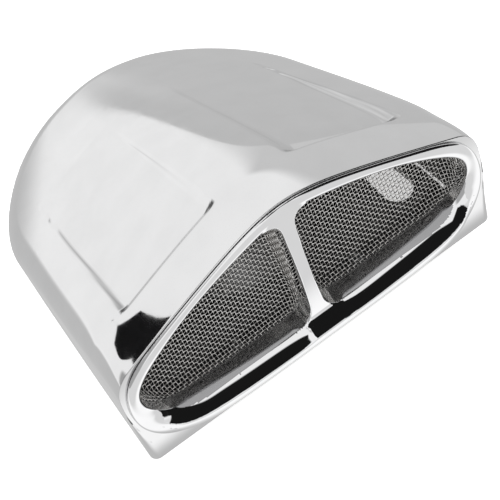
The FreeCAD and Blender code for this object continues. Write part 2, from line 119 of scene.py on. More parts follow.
def shell_field(x, y, z, recessed=True, cut=True):
    """outer form of the shell; cut=False lets it run on past the mouth plane"""
    roof_z = roof(x, y)
    if recessed:
        roof_z = roof_z - ROOF_SCALE * recess(x, y)
    top = (z - roof_z) / ROOF_SCALE
    upper = np.abs(x) - (SIDE_X - SIDE_TAPER * y) - SIDE_BULGE * smooth(z / 45.)
    lower = np.abs(x) - (FOOT_X - FOOT_TAPER * y) - FOOT_LEAN * z
    side = smax(upper, lower, 2.)
    back = (y - BACK_Y) + BACK_CURVE * x * x + BACK_LEAN * z
    body = smax(top, smax(side, back, BACK_CORNER), ROOF_CORNER, ROOF_CORNER_POWER)
    if not cut:
        return body
    front = mouth_y(z) - y - 1e-6
    # the front corner is nearly sharp, and rounded low down
    return smax(body, front, 0.02 + 5.0 * smooth((46. - z) / 34.))


def body_field(x, y, z):
    return shell_field(x, y, z, cut=False)


def gradient(field, points, step=0.04):
    slope = np.zeros_like(points)
    for axis in range(3):
        ahead = points.copy()
        behind = points.copy()
        ahead[:, axis] += step
        behind[:, axis] -= step
        slope[:, axis] = field(*ahead.T) - field(*behind.T)
    return slope / (2 * step)


def unit(v):
    return v / np.maximum(np.linalg.norm(v, axis=-1, keepdims=True), 1e-12)


def bisect(inside, low, high, steps):
    """narrow low..high onto the place where inside() turns false"""
    for _ in range(steps):
        middle = 0.5 * (low + high)
        keep = inside(middle)
        low = np.where(keep, middle, low)
        high = np.where(keep, high, middle)
    return low, high


# ---------------------------------------------------------------------------
# Closed loops in the x, z plane
# ---------------------------------------------------------------------------
def closed_spline(points, count):
    """cubic through the points, with knots spaced by the root of the chord"""
    pts = np.array(points, float)
    n = len(pts)
    after = np.roll(pts, -1, 0)
    span = np.sqrt(np.linalg.norm(after - pts, axis=1))
    knots = np.concatenate([[0], np.cumsum(span)])
    system = np.zeros((n, n))
    target = np.zeros((n, 2))
    for i in range(n):
        a, b = span[i - 1], span[i]
        system[i, (i - 1) % n] += a
        system[i, i] += 2 * (a + b)
        system[i, (i + 1) % n] += b
        target[i] = 6 * ((after[i] - pts[i]) / b - (pts[i] - pts[i - 1]) / a)
    bend = np.linalg.solve(system, target)
    s = np.linspace(0, knots[-1], count, endpoint=False)
    k = np.clip(np.searchsorted(knots, s, side='right') - 1, 0, n - 1)
    x = (s - knots[k])[:, None]
    h = span[k][:, None]
    p0, p1, m0, m1 = pts[k], after[k], bend[k], bend[(k + 1) % n]
    return (m0 * (h - x) ** 3 / (6 * h) + m1 * x ** 3 / (6 * h)
            + (p0 / h - m0 * h / 6) * (h - x) + (p1 / h - m1 * h / 6) * x)


def even(loop, count):
    """the loop resampled at equal distances"""
    closed = np.vstack([loop, loop[:1]])
    arc = np.concatenate([[0], np.cumsum(np.linalg.norm(np.diff(closed, axis=0), axis=1))])
    s = np.linspace(0, arc[-1], count, endpoint=False)
    return np.stack([np.interp(s, arc, closed[:, 0]), np.interp(s, arc, closed[:, 1])], 1)


def relax(loop, passes):
    for _ in range(passes):
        loop = (np.roll(loop, 1, 0) + 2 * loop + np.roll(loop, -1, 0)) / 4
    return loop


def inward_normals(loop):
    tangent = np.roll(loop, -1, 0) - np.roll(loop, 1, 0)
    normal = unit(np.stack([-tangent[:, 1], tangent[:, 0]], 1))
    return normal * np.sign(((loop.mean(0) - loop) * normal).sum(1).mean())


def loop_distance(points, loop, batch=4000):
    """signed distance (positive inside) and closest point, for points of (n, 2)"""
    start = loop
    end = np.roll(loop, -1, 0)
    edge = end - start
    edge_sq = (edge ** 2).sum(1)
    x0, x1 = start[None, :, 0], end[None, :, 0]
    y0, y1 = start[None, :, 1], end[None, :, 1]
    signed = np.zeros(len(points))
    near = np.zeros((len(points), 2))
    for first in range(0, len(points), batch):
        p = points[first:first + batch]
        from_start = p[:, None, :] - start[None]
        t = np.clip((from_start * edge[None]).sum(2) / edge_sq[None], 0, 1)
        closest = start[None] + edge[None] * t[..., None]
        dist_sq = ((p[:, None, :] - closest) ** 2).sum(2)
        best = dist_sq.argmin(1)
        row = np.arange(len(p))
        dist = np.sqrt(dist_sq[row, best])
        near[first:first + batch] = closest[row, best]
        # a point is inside when a ray from it crosses the loop an odd number of times
        px, py = p[:, 0:1], p[:, 1:2]
        spans = (y0 > py) != (y1 > py)
        with np.errstate(divide='ignore', invalid='ignore'):
            crossing = x0 + (py - y0) * (x1 - x0) / (y1 - y0)
        inside = ((spans & (px < crossing)).sum(1) % 2) == 1
        signed[first:first + batch] = np.where(inside, dist, -dist)
    return signed, near


# ---------------------------------------------------------------------------
# Mouth outlines
# ---------------------------------------------------------------------------
# seam between shell and bezel as (x, z), from the right side down to the bottom middle
SEAM_LOW = [
    (106.0, 66.0), (111.3, 58.0), (114.2, 49.5), (114.5, 41.5), (113.1, 33.3),
    (110.4, 25.5), (106.2, 18.5), (100.7, 12.8), (93.2, 7.6), (84.0, 4.2),
    (74.0, 2.6), (60.0, 2.0), (40.0, 1.9), (20.0, 1.9), (0.0, 1.9)]
# right inlet as (x, z), from the top beside the divider, outwards and around
INLET = [
    (8.5, 97.6), (17.0, 96.9), (30.0, 93.4), (44.0, 89.0), (57.0, 84.2), (70.0, 78.4),
    (82.0, 71.6), (92.0, 65.2), (99.0, 59.6), (103.4, 53.8), (104.6, 47.8), (103.6, 42.0),
    (100.6, 36.4), (96.0, 31.6), (90.0, 27.8), (82.0, 25.6), (70.0, 24.9), (56.0, 24.5),
    (42.0, 24.2), (28.0, 24.0), (17.0, 24.2), (9.6, 25.8), (5.6, 30.2), (4.4, 37.0),
    (3.9, 48.0), (3.7, 60.0), (3.8, 72.0), (4.1, 84.0), (4.9, 93.2)]


def mouth_point(angle, radius):
    """x, z at an angle measured from straight up around the middle of the mouth"""
    return radius * np.sin(angle), MOUTH_MID_Z + radius * np.cos(angle)


def shell_radius(angle):
    def inside(radius):
        x, z = mouth_point(angle, radius)
        return shell_field(x, mouth_y(z), z, recessed=False, cut=False) <= 0
    return bisect(inside, np.full_like(angle, 5.0), np.full_like(angle, 200.0), 44)[0]


def seam_radius(angle):
    """radius to the SEAM_LOW polyline; unlimited above its first point"""
    angle = abs(angle)
    stations = [(math.atan2(x, z - MOUTH_MID_Z), math.hypot(x, z - MOUTH_MID_Z))
                for x, z in SEAM_LOW]
    if angle <= stations[0][0]:
        return 1e9
    for (a0, r0), (a1, r1) in zip(stations, stations[1:]):
        if a0 <= angle <= a1 + 1e-9:
            x0, z0 = r0 * math.sin(a0), r0 * math.cos(a0)
            x1, z1 = r1 * math.sin(a1), r1 * math.cos(a1)
            dx, dz = x1 - x0, z1 - z0
            sin_a, cos_a = math.sin(angle), math.cos(angle)
            k = (z0 * sin_a - x0 * cos_a) / (dx * cos_a - dz * sin_a)
            return math.hypot(x0 + k * dx, z0 + k * dz)
    return stations[-1][1]


def seam_outline(count=72, inset=0.5):
    angle = -math.pi + 2 * math.pi * np.arange(count) / count
    radius = np.minimum(shell_radius(angle) - inset, [seam_radius(a) for a in angle])
    return relax(np.stack(mouth_point(angle, radius), 1), 2)


SEAM = closed_spline(seam_outline(), 900)
RIGHT_INLET = even(closed_spline(INLET, 1400), 700)


# ---------------------------------------------------------------------------
# Mesh helpers
# ---------------------------------------------------------------------------
def add_object(name, data):
    ob = bpy.data.objects.new(name, data)
    bpy.context.scene.collection.objects.link(ob)
    return ob


def new_mesh(name, points, faces, materials, normals=None, face_materials=None):
    if normals is not None:
        # the winding of every face is made to agree with the normals of its corners
        corners = points[faces]
        facing = np.cross(corners[:, 2] - corners[:, 0], corners[:, 3] - corners[:, 1])
        wrong = (facing * normals[faces].sum(1)).sum(1) < 0
        faces = np.where(wrong[:, None], faces[:, ::-1], faces)
    mesh = bpy.data.meshes.new(name)
    mesh.from_pydata(metres(points).tolist(), [], faces.tolist())
    for material in materials:
        mesh.materials.append(material)
    if face_materials is not None:
        mesh.polygons.foreach_set("material_index", np.asarray(face_materials, np.int32))
    mesh.polygons.foreach_set("use_smooth", np.full(len(mesh.polygons), True))
    mesh.update()
    if normals is not None:
        mesh.normals_split_custom_set_from_vertices(unit(normals).tolist())
    return add_object(name, mesh)


def grid_faces(rows, cols):
    i = (np.arange(rows - 1)[:, None] * cols + np.arange(cols - 1)[None]).ravel()
    return np.stack([i, i + 1, i + 1 + cols, i + cols], 1)


class Patches:
    """collects separately numbered patches of quads into one mesh"""

    def __init__(self):
        self.points, self.normals, self.faces, self.materials = [], [], [], []
        self.count = 0

    def add(self, points, normals, faces, material=0):
        self.points.append(points)
        self.normals.append(normals)
        self.faces.append(faces + self.count)
        self.materials.append(np.full(len(faces), material))
        self.count += len(points)

    def joined(self):
        return (np.vstack(self.points), np.vstack(self.normals), np.vstack(self.faces),
                np.concatenate(self.materials))


def piece(ob, node):
    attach(ob, "root")
    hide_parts(node)


# ---------------------------------------------------------------------------
# Materials
# ---------------------------------------------------------------------------
class Nodes:
    def __init__(self, tree):
        self.tree = tree

    def add(self, kind, **settings):
        node = self.tree.nodes.new(kind)
        for key, value in settings.items():
            setattr(node, key, value)
        return node

    def put(self, value, socket):
        """link a socket, or set a plain value"""
        if isinstance(value, bpy.types.NodeSocket):
            self.tree.links.new(value, socket)
        else:
            socket.default_value = value

    def math(self, operation, *values):
        node = self.add("ShaderNodeMath", operation=operation)
        for i, value in enumerate(values):
            self.put(value, node.inputs[i])
        return node.outputs[0]

    def remap(self, value, from_min, from_max, to_min=0, to_max=1, kind="LINEAR"):
        node = self.add("ShaderNodeMapRange", interpolation_type=kind)
        node.inputs["From Min"].default_value = from_min
        node.inputs["From Max"].default_value = from_max
        node.inputs["To Min"].default_value = to_min
        node.inputs["To Max"].default_value = to_max
        self.put(value, node.inputs["Value"])
        return node.outputs["Result"]

    def smooth_remap(self, value, *limits):
        return self.remap(value, *limits, kind="SMOOTHSTEP")


class Material(Nodes):
    def __init__(self, name):
        self.material = bpy.data.materials.new(name)
        self.material.use_nodes = True
        super().__init__(self.material.node_tree)
        self.shader = self.tree.nodes["Principled BSDF"]
        self.coords = self.add("ShaderNodeTexCoord").outputs["Object"]

    def set(self, name, value):
        self.put(value, self.shader.inputs[name])

    def noise(self, scale, detail, roughness, stretch=None):
        source = self.coords
        if stretch:
            mapping = self.add("ShaderNodeMapping")
            mapping.inputs["Scale"].default_value = stretch
            self.put(source, mapping.inputs["Vector"])
            source = mapping.outputs["Vector"]
        node = self.add("ShaderNodeTexNoise")
        node.inputs["Scale"].default_value = scale
        node.inputs["Detail"].default_value = detail
        node.inputs["Roughness"].default_value = roughness
        self.put(source, node.inputs["Vector"])
        return node.outputs["Fac"]

    def mix(self, factor, *colors):
        """blend two colours, each an RGB tuple or a socket"""
        node = self.add("ShaderNodeMix", data_type="RGBA")
        self.put(factor, node.inputs["Factor"])
        for i, color in zip((6, 7), colors):
            self.put((*color, 1) if isinstance(color, tuple) else color, node.inputs[i])
        return node.outputs[2]

    def bump(self, height, strength, distance):
        node = self.add("ShaderNodeBump")
        node.inputs["Strength"].default_value = strength
        node.inputs["Distance"].default_value = distance
        self.put(height, node.inputs["Height"])
        self.set("Normal", node.outputs["Normal"])


def chrome(name, tint, rough, ripple=0.02, painted_recess_shade=False):
    m = Material(name)
    m.set("Metallic", 1.0)
    film = m.noise(scale=55.0, detail=3.0, roughness=0.5)
    base = m.mix(m.remap(film, 0.35, 0.7), tint, tuple(c * 0.965 for c in tint))
    if painted_recess_shade:
        # painted shade: the attribute darkens the edges and corners of the pressed recesses
        # toward black
        attribute = m.add("ShaderNodeAttribute")
        attribute.attribute_name = "painted_recess_shade"
        base = m.mix(attribute.outputs["Fac"], base, (0.012, 0.012, 0.013))
    m.set("Base Color", base)
    smear = m.noise(scale=260.0, detail=5.0, roughness=0.6, stretch=(1.0, 0.35, 1.0))
    m.set("Roughness", m.remap(smear, 0.35, 0.75, rough * 0.75, rough * 1.6))
    peel = m.noise(scale=480.0, detail=2.0, roughness=0.5)
    m.bump(peel, strength=ripple, distance=0.00004)
    return m.material


def mottled(name, dark, light, rough, scale, bump, distance, metallic=1.0, stretch=None):
    """noise that varies colour and roughness, with a finer noise as bump"""
    m = Material(name)
    m.set("Metallic", metallic)
    spots = m.noise(scale, detail=6.0, roughness=0.6, stretch=stretch)
    m.set("Base Color", m.mix(m.remap(spots, 0.3, 0.72), dark, light))
    m.set("Roughness", m.remap(spots, 0.3, 0.7, rough * 0.8, rough * 1.25))
    m.bump(m.noise(scale * 3.1, detail=4.0, roughness=0.6), bump, distance)
    return m.material


# the shell chrome carries painted shade in the edges and corners of its recesses
CHROME_SHELL = chrome("chrome_shell", tint=(0.80, 0.80, 0.803), rough=0.05, painted_recess_shade=True)
CHROME_BEZEL = chrome("chrome_bezel", tint=(0.84, 0.84, 0.845), rough=0.03, ripple=0.012)
# darker copy of the bezel chrome: painted shade on the tunnel floors
CHROME_TUNNEL_SHADED = chrome("chrome_tunnel_painted_shade", tint=(0.34, 0.34, 0.345), rough=0.07)
INSIDE = mottled("shell_inside", (0.008, 0.008, 0.009), (0.014, 0.014, 0.015), rough=0.62,
                 scale=180.0, bump=0.15, distance=0.0001, metallic=0.15)
WIRE = mottled("screen_wire", (0.80, 0.785, 0.765), (0.93, 0.92, 0.90), rough=0.22,
               scale=900.0, bump=0.1, distance=0.00003)
RUBBER = mottled("seal_rubber", (0.010, 0.009, 0.009), (0.022, 0.019, 0.018), rough=0.6,
                 scale=500.0, bump=0.35, distance=0.0001, metallic=0.0)
BLACK = mottled("black_steel", (0.018, 0.018, 0.019), (0.032, 0.032, 0.034), rough=0.48,
                scale=620.0, bump=0.3, distance=0.00012, metallic=0.1)
ZINC = mottled("zinc_fixings", (0.55, 0.56, 0.56), (0.68, 0.68, 0.66), rough=0.33,
               scale=420.0, bump=0.12, distance=0.00006)
ALLOY = mottled("collar_alloy", (0.60, 0.605, 0.61), (0.72, 0.72, 0.725), rough=0.36,
                scale=260.0, bump=0.12, distance=0.00008, stretch=(1, 1, 14))

# ---------------------------------------------------------------------------
# Cowl shell: outer skin, rolled front edge, front wall, inner skin, bottom rims
# ---------------------------------------------------------------------------
# The skins are cast along rays from a hub below the floor, on the mouth plane. Swing
# turns from the mouth plane to the back, tilt from the right side over to the left.
HUB_Z = -40.0
HUB_Y = mouth_y(HUB_Z)
SWING_FRONT = math.atan2(1.0, MOUTH_LEAN)
SWING_BACK = math.atan2(-HUB_Z, BACK_Y - HUB_Y) + math.radians(0.06)
ROLL_RADIUS = 0.55                  # rolled front edge
SLEEVE_INSET = 4.3                  # opening in the front wall, inside the seam
RETURN_INSET = 3.4                  # outer border of the wall's back, inside the edge
MOUTH_NORMAL = np.array([0, -1, MOUTH_LEAN]) / math.hypot(1, MOUTH_LEAN)


def ray_points(swing, tilt):
    """function from radius to the x, y, z at that radius"""
    ray_x = np.cos(tilt)
    ray_y = np.sin(tilt) * np.cos(swing)
    ray_z = np.sin(tilt) * np.sin(swing)
    return lambda r: (ray_x * r, HUB_Y + ray_y * r, HUB_Z + ray_z * r)


def skin_radius(swing, tilt, field, offset):
    at = ray_points(swing, tilt)
    shape = np.broadcast(swing, tilt).shape
    return bisect(lambda r: field(*at(r)) + offset <= 0,
                  np.full(shape, 5.0), np.full(shape, 420.0), 34)[0]


def skin(rows, columns, field, offset=0.0, swing_end=SWING_BACK):
    """grid of points on the skin, rows front to back, columns right to left"""
    swing = SWING_FRONT + (swing_end - SWING_FRONT) * np.linspace(0, 1, rows) ** 1.12

    def below_floor(tilt):
        radius = skin_radius(swing, tilt, field, offset)
        return radius * np.sin(tilt) * np.sin(swing) + HUB_Z < 0

    def cast(tilts):
        swings = swing[:, None] + 0 * tilts
        radius = skin_radius(swings, tilts, field, offset)
        return np.stack(ray_points(swings, tilts)(radius), -1)

    _, start = bisect(below_floor, np.full(rows, math.radians(3.0)),
                      np.full(rows, math.pi / 2), 30)
    # a fine cast of the right half gives arc lengths, so columns can be evenly spaced
    fine = np.linspace(0, 1, 420)[None]
    tilt = start[:, None] + (math.pi / 2 - start[:, None]) * fine
    steps = np.linalg.norm(np.diff(cast(tilt), axis=1), axis=2)
    arc = np.concatenate([np.zeros((rows, 1)), np.cumsum(steps, 1)], 1)
    share = np.linspace(0, 1, columns // 2 + 1)
    half = np.array([np.interp(share * arc[i, -1], arc[i], tilt[i]) for i in range(rows)])
    points = cast(np.concatenate([half, math.pi - half[:, -2::-1]], 1))
    points[:, (0, -1), 2] = 0
    return points


def outer_skin():
    """outer skin with the rolled edge as its first rows: points and normals"""
    rows, columns = ((270, 220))
    points = skin(rows, columns, shell_field)
    normals = unit(gradient(shell_field, points.reshape(-1, 3))).reshape(points.shape)
    # the edge turns from the normals of the uncut body, not from those of the mouth
    # plane; the roll fades out towards the feet
    edge, edge_normals = points[0], normals[0]
    body = unit(gradient(body_field, edge))
    body = unit(body - (body @ MOUTH_NORMAL)[:, None] * MOUTH_NORMAL)
    roll = smooth((edge[:, 2] - 16.0) / 24.0)[:, None]
    radius = ROLL_RADIUS * roll
    roll_points, roll_normals = [], []
    for angle in (90, 68, 45, 22, 0):
        s, c = math.sin(math.radians(angle)), math.cos(math.radians(angle))
        roll_points.append(edge - MOUTH_NORMAL * radius * (1 - s) - body * radius * (1 - c))
        normal = unit(body * c + MOUTH_NORMAL * s) * roll + edge_normals * (1 - roll)
        roll_normals.append(unit(normal))
    return (np.concatenate([roll_points, points[1:]]),
            np.concatenate([roll_normals, normals[1:]]))


def add_front_wall(patches, edge, bottom_count=60):
    """flat wall from the rolled edge to the sleeve opening, through it and back out"""
    bottom_x = np.linspace(edge[-1][0], edge[0][0], bottom_count + 2)[1:-1]
    bottom = np.stack([bottom_x, np.full(bottom_count, edge[0][1]),
                       np.zeros(bottom_count)], 1)
    ring = np.vstack([edge, bottom])
    angle = np.arctan2(ring[:, 0], ring[:, 2] - MOUTH_MID_Z)
    sleeve = SEAM + inward_normals(SEAM) * SLEEVE_INSET
    sleeve_z = sleeve[:, 1] - MOUTH_MID_Z
    radius = np.interp(angle, np.arctan2(sleeve[:, 0], sleeve_z),
                       np.hypot(sleeve[:, 0], sleeve_z), period=2 * math.pi)
    x, z = mouth_point(angle, radius)
    hole_front = np.stack([x, mouth_y(z), z], 1)
    hole_back = np.stack([x, mouth_y(z) + WALL, z], 1)
    x, z = mouth_point(angle, np.hypot(ring[:, 0], ring[:, 2] - MOUTH_MID_Z) - RETURN_INSET)
    z = np.maximum(z, 0.2)
    wall_back = np.stack([x, mouth_y(z) + WALL, z], 1)
    ring[:, 1] = np.minimum(ring[:, 1], mouth_y(ring[:, 2]))

    count = len(ring)
    inward = unit(np.stack([-np.sin(angle), 0 * angle, -np.cos(angle)], 1))
    forward = np.repeat(MOUTH_NORMAL[None], count, 0)
    i = np.arange(count)
    j = (i + 1) % count
    faces = np.stack([i, count + i, count + j, j], 1)
    for start, end, normal, material in ((ring, hole_front, forward, 0),
                                         (hole_front, hole_back, inward, 1),
                                         (hole_back, wall_back, -forward, 1)):
        patches.add(np.vstack([start, end]), np.vstack([normal, normal]), faces, material)


def inner_skin(rows):
    points = skin(rows, 70, body_field, WALL, SWING_BACK + math.radians(0.9))
    # points in front of the back of the front wall gather at the first one behind it
    for c in range(points.shape[1]):
        behind = points[:, c, 1] - mouth_y(points[:, c, 2]) >= WALL
        first = int(np.argmax(behind))
        points[:first, c] = points[first, c]
    return points


def paint_recess_shade(shell):
    """store how strongly painted shade darkens the recess edges and corners"""
    coords = np.empty(len(shell.data.vertices) * 3)
    shell.data.vertices.foreach_get("co", coords)
    x, y, _ = (coords.reshape(-1, 3) * 1000.0 + [0, DUCT_Y, 0]).T
    slope_y = np.abs((recess(x, y + 0.4) - recess(x, y - 0.4)) / 0.8)
    slope_x = np.abs((recess(x + 0.4, y) - recess(x - 0.4, y)) / 0.8)
    slope_y = slope_y / max(slope_y.max(), 1e-6)
    slope_x = slope_x / max(slope_x.max(), 1e-6)
    side = np.where(x < 0, 1.0, 0.45)       # painted shade is stronger on the left
    corner = smooth((np.sqrt(slope_x * slope_y) - 0.22) / 0.16)
    right_edges = np.where(x > 0, slope_x, 0.0)
    painted_recess_shade = side * (0.42 * slope_y ** 1.5 + 0.97 * corner) + 0.22 * right_edges
    attribute = shell.data.attributes.new("painted_recess_shade", "FLOAT", "POINT")
    attribute.data.foreach_set("value", np.clip(painted_recess_shade, 0, 0.97).astype(np.float32))


def build_shell():
    patches = Patches()
    outer, outer_normals = outer_skin()
    rows, columns = outer.shape[:2]
    patches.add(outer.reshape(-1, 3), outer_normals.reshape(-1, 3),
                grid_faces(rows, columns), 0)
    add_front_wall(patches, outer[0])
    inner = inner_skin(rows)
    flat = inner.reshape(-1, 3)
    patches.add(flat, -unit(gradient(body_field, flat)), grid_faces(rows, inner.shape[1]), 1)
    # bottom rims between the skins: first column is the right side, last the left
    for column in (0, -1):
        patches.add(np.vstack([outer[:, column], inner[:, column]]),
                    np.repeat([[0, 0, -1.0]], 2 * rows, 0), grid_faces(2, rows), 1)
    points, normals, faces, materials = patches.joined()
    # drop faces with no area
    corners = points[faces]
    area = np.linalg.norm(np.cross(corners[:, 2] - corners[:, 0],
                                   corners[:, 3] - corners[:, 1]), axis=1)
    keep = area > 1e-6
    ob = new_mesh("cowl_shell_skin", points, faces[keep], (CHROME_SHELL, INSIDE), normals,
                  materials[keep])
    piece(ob, "cowl_shell")
    paint_recess_shade(ob)


# ---------------------------------------------------------------------------
# Mouth bezel: rolled lip, divider and tunnels as one smooth skin
# ---------------------------------------------------------------------------
class LoopDepth:
    """smooth lookup of the distance inside a loop, sampled on a square x, z grid"""
    X0, X1, Z0, Z1, STEP = -122, 122, -6, 116, 0.8

    def __init__(self, loop):
        self.nx = int((self.X1 - self.X0) / self.STEP) + 1
        self.nz = int((self.Z1 - self.Z0) / self.STEP) + 1
        x, z = np.meshgrid(self.X0 + self.STEP * np.arange(self.nx),
                           self.Z0 + self.STEP * np.arange(self.nz), indexing="ij")
        depth, _ = loop_distance(np.stack([x.ravel(), z.ravel()], 1), loop)
        self.depth = depth.reshape(self.nx, self.nz)

    @staticmethod
    def weights(u):
        """cubic B-spline weights of the four samples around a place"""
        return [(1 - u) ** 3 / 6, (3 * u ** 3 - 6 * u ** 2 + 4) / 6,
                (-3 * u ** 3 + 3 * u ** 2 + 3 * u + 1) / 6, u ** 3 / 6]

    def __call__(self, x, z):
        a = np.clip((x - self.X0) / self.STEP, 1, self.nx - 3.001)
        b = np.clip((z - self.Z0) / self.STEP, 1, self.nz - 3.001)
        i, j = np.floor(a).astype(int), np.floor(b).astype(int)
        weights_x, weights_z = self.weights(a - i), self.weights(b - j)
        total = 0
        for p in range(4):
            for q in range(4):
                total = total + weights_x[p] * weights_z[q] * self.depth[i + p - 1, j + q - 1]
        return total


seam_depth = LoopDepth(SEAM)
inlet_depth = LoopDepth(RIGHT_INLET)

LIP_CREST = 0.41        # place of the crest, as a share of the way from seam to inlet
LIP_INNER_EDGE = -0.5   # forward of the mouth plane, where the lip meets the tunnel
SLEEVE_BACK = -6.0      # forward of the mouth plane, at the back of the sleeve


def thin_lip(forward, in_seam, in_inlet, z):
    """lip along the top and the sides: two quarter ellipses that meet at the crest"""
    width = np.maximum(in_seam - in_inlet, 3.0)
    share = in_seam / width
    height = 2.3 + 0.8 * smooth((92.0 - z) / 40.0)

    def quarter(across, length, base):
        rise = np.maximum(forward - base, 0) / (height - base)
        ellipse = np.sqrt(np.maximum(across / length, 0) ** 2 + rise ** 2) - 1
        return ellipse * np.minimum(length * width, height - base)

    # outer radius is capped by the full height, not by the height over the seal
    rise = np.maximum(forward - SEAL_T, 0) / (height - SEAL_T)
    outer = np.sqrt(np.maximum((LIP_CREST - share) / LIP_CREST, 0) ** 2 + rise ** 2) - 1
    outer = outer * np.minimum(LIP_CREST * width, height)
    return np.where(share < LIP_CREST, outer,
                    quarter(share - LIP_CREST, 1 - LIP_CREST, LIP_INNER_EDGE))


def lower_lip(forward, in_seam, in_inlet, half, z):
    """sloping sill, long chamfer, upright nose, underside running back to the seam"""
    reach = 1.0 - 1.2 * (np.minimum(half, 95.0) / 60.0) ** 2
    rim = np.maximum(in_inlet, z - 25.5 - 2.0 * np.maximum(half - 20.0, 0))
    sill = 0.342 * (forward - 3.9 - reach) + 0.940 * rim
    chamfer = 0.750 * (forward - 6.2 - reach) + 0.662 * (rim + 0.95)
    underside = 0.76 * (forward - SEAL_T) - 0.65 * in_seam
    nose = smax(forward - 11.7 - reach, underside, 5.0)
    return smax(smax(sill, chamfer, 1.6), nose, 1.2)


def divider(forward, in_seam, in_inlet, half, z):
    """upright bar between the inlets, standing forward and falling off sideways"""
    front = 6.0 - 0.045 * z
    front = front - 0.020 * np.maximum(half - 5.0, 0) ** 2
    bar = smax(forward - front, in_inlet, 0.9)
    bar = smax(bar, 5.0 - in_seam, 4.0)
    return smax(bar, half - 16.0, 3.0)


def bezel_field(x, y, z):
    forward = mouth_y(z) - y
    half = np.abs(x)
    in_seam = seam_depth(x, z)
    in_inlet = smax(inlet_depth(x, z), inlet_depth(-x, z), 4.0)
    thin = thin_lip(forward, in_seam, in_inlet, z)
    # share of the lower lip, growing from the outer ends of the mouth to the bottom
    angle = np.degrees(np.arctan2(36.0 - z, np.maximum(half - 86.0, 0) + 4.0))
    low = smooth((angle - 5.0) / 62.0)
    solid = thin + (lower_lip(forward, in_seam, in_inlet, half, z) - thin) * low
    solid = smin(solid, divider(forward, in_seam, in_inlet, half, z), 2.5)
    # tunnel walls; the floor of the tunnel falls towards the front
    solid = smax(solid, in_inlet - 0.17 * low * np.maximum(3.9 - forward, 0), 0.8)
    # back: seats on the seal, with a sleeve inside the shell
    back = np.maximum(SLEEVE_BACK - forward, np.minimum(0.35 - forward, 4.6 - in_seam))
    return smax(solid, back, 0.7)


def surface_nets(values, origin, step):
    """one point in each cell that the surface crosses, one quad for each crossed edge"""
    cells = tuple(n - 1 for n in values.shape)
    total = np.zeros(cells + (3,))
    count = np.zeros(cells)
    crossings = []
    for axis in range(3):
        low, high = [slice(None)] * 3, [slice(None)] * 3
        low[axis], high[axis] = slice(0, -1), slice(1, None)
        start, end = values[tuple(low)], values[tuple(high)]
        crossed = (start < 0) != (end < 0)
        index = np.argwhere(crossed)
        place = index.astype(float)
        place[:, axis] += start[crossed] / (start[crossed] - end[crossed])
        crossings.append(index)
        o1, o2 = [k for k in range(3) if k != axis]
        for d1 in (0, -1):
            for d2 in (0, -1):
                cell = index.copy()
                cell[:, o1] += d1
                cell[:, o2] += d2
                valid = (cell >= 0).all(1) & (cell < cells).all(1)
                where = tuple(cell[valid].T)
                np.add.at(total, where, place[valid])
                np.add.at(count, where, 1)
    used = count > 0
    number = np.full(cells, -1)
    number[used] = np.arange(used.sum())
    points = total[used] / count[used][:, None] * step + origin
    quads = []
    for index, (o1, o2) in zip(crossings, ((1, 2), (2, 0), (0, 1))):
        valid = ((index[:, o1] > 0) & (index[:, o2] > 0)
                 & (index[:, o1] < cells[o1]) & (index[:, o2] < cells[o2]))
        index = index[valid]
        corners = []
        for d1, d2 in ((-1, -1), (0, -1), (0, 0), (-1, 0)):
            cell = index.copy()
            cell[:, o1] += d1
            cell[:, o2] += d2
            corners.append(number[tuple(cell.T)])
        quads.append(np.stack(corners, 1))
    return points, np.vstack(quads)


def build_bezel():
    step = 0.75
    # the sampling grid is sheared with the mouth plane: axes are x, forward distance, z
    xs = np.arange(-118.3, 118.4, step)
    forwards = np.arange(-7.4, 16.0, step)
    zs = np.arange(-1.3, 112.0, step)
    x, forward, z = np.meshgrid(xs, forwards, zs, indexing="ij")
    values = np.empty(x.shape)
    for i in range(0, len(xs), 24):
        slab = slice(i, i + 24)
        values[slab] = bezel_field(x[slab], mouth_y(z[slab]) - forward[slab], z[slab])
    net, faces = surface_nets(values, np.array([xs[0], forwards[0], zs[0]]), step)
    points = np.stack([net[:, 0], mouth_y(net[:, 2]) - net[:, 1], net[:, 2]], 1)
    # pull the points onto the surface, at most 0.35 mm at a time
    for _ in range(4):
        value = bezel_field(*points.T)
        slope = gradient(bezel_field, points, 0.05)
        move = value[:, None] * slope / np.maximum((slope ** 2).sum(1), 0.15)[:, None]
        length = np.linalg.norm(move, axis=1, keepdims=True)
        points = points - move * np.minimum(1, 0.35 / np.maximum(length, 1e-9))
    normals = unit(gradient(bezel_field, points, 0.12))
    # the floor of each tunnel gets a darker, rougher copy of the chrome: painted shade
    centre = points[faces].mean(1)
    level = unit(normals[faces].sum(1))[:, 2]
    ahead = mouth_y(centre[:, 2]) - centre[:, 1]
    floor = ((level > 0.88) & (ahead > -6.5) & (ahead < 4.6)
             & (centre[:, 2] > 20.0) & (centre[:, 2] < 34.0))
    ob = new_mesh("mouth_bezel_skin", points, faces, (CHROME_BEZEL, CHROME_TUNNEL_SHADED), normals,
                  floor)
    piece(ob, "mouth_bezel")


# ---------------------------------------------------------------------------
# Screens: plain-woven round wire, drawn into a pan
# ---------------------------------------------------------------------------
PITCH = 2.117
WIRE_R = 0.28
RAKE = 0.30                         # pan floor: y gained per z
RAKE_COS = 1 / math.hypot(1, RAKE)
PAN_Y, PAN_Z = 12.5, 26.0           # the pan floor passes through this y at this z
PAN_WALL_LEAN = 4.4                 # how far the pan wall leans in
PAN_WALL_POWER = 2.5                # exponent of its superellipse section
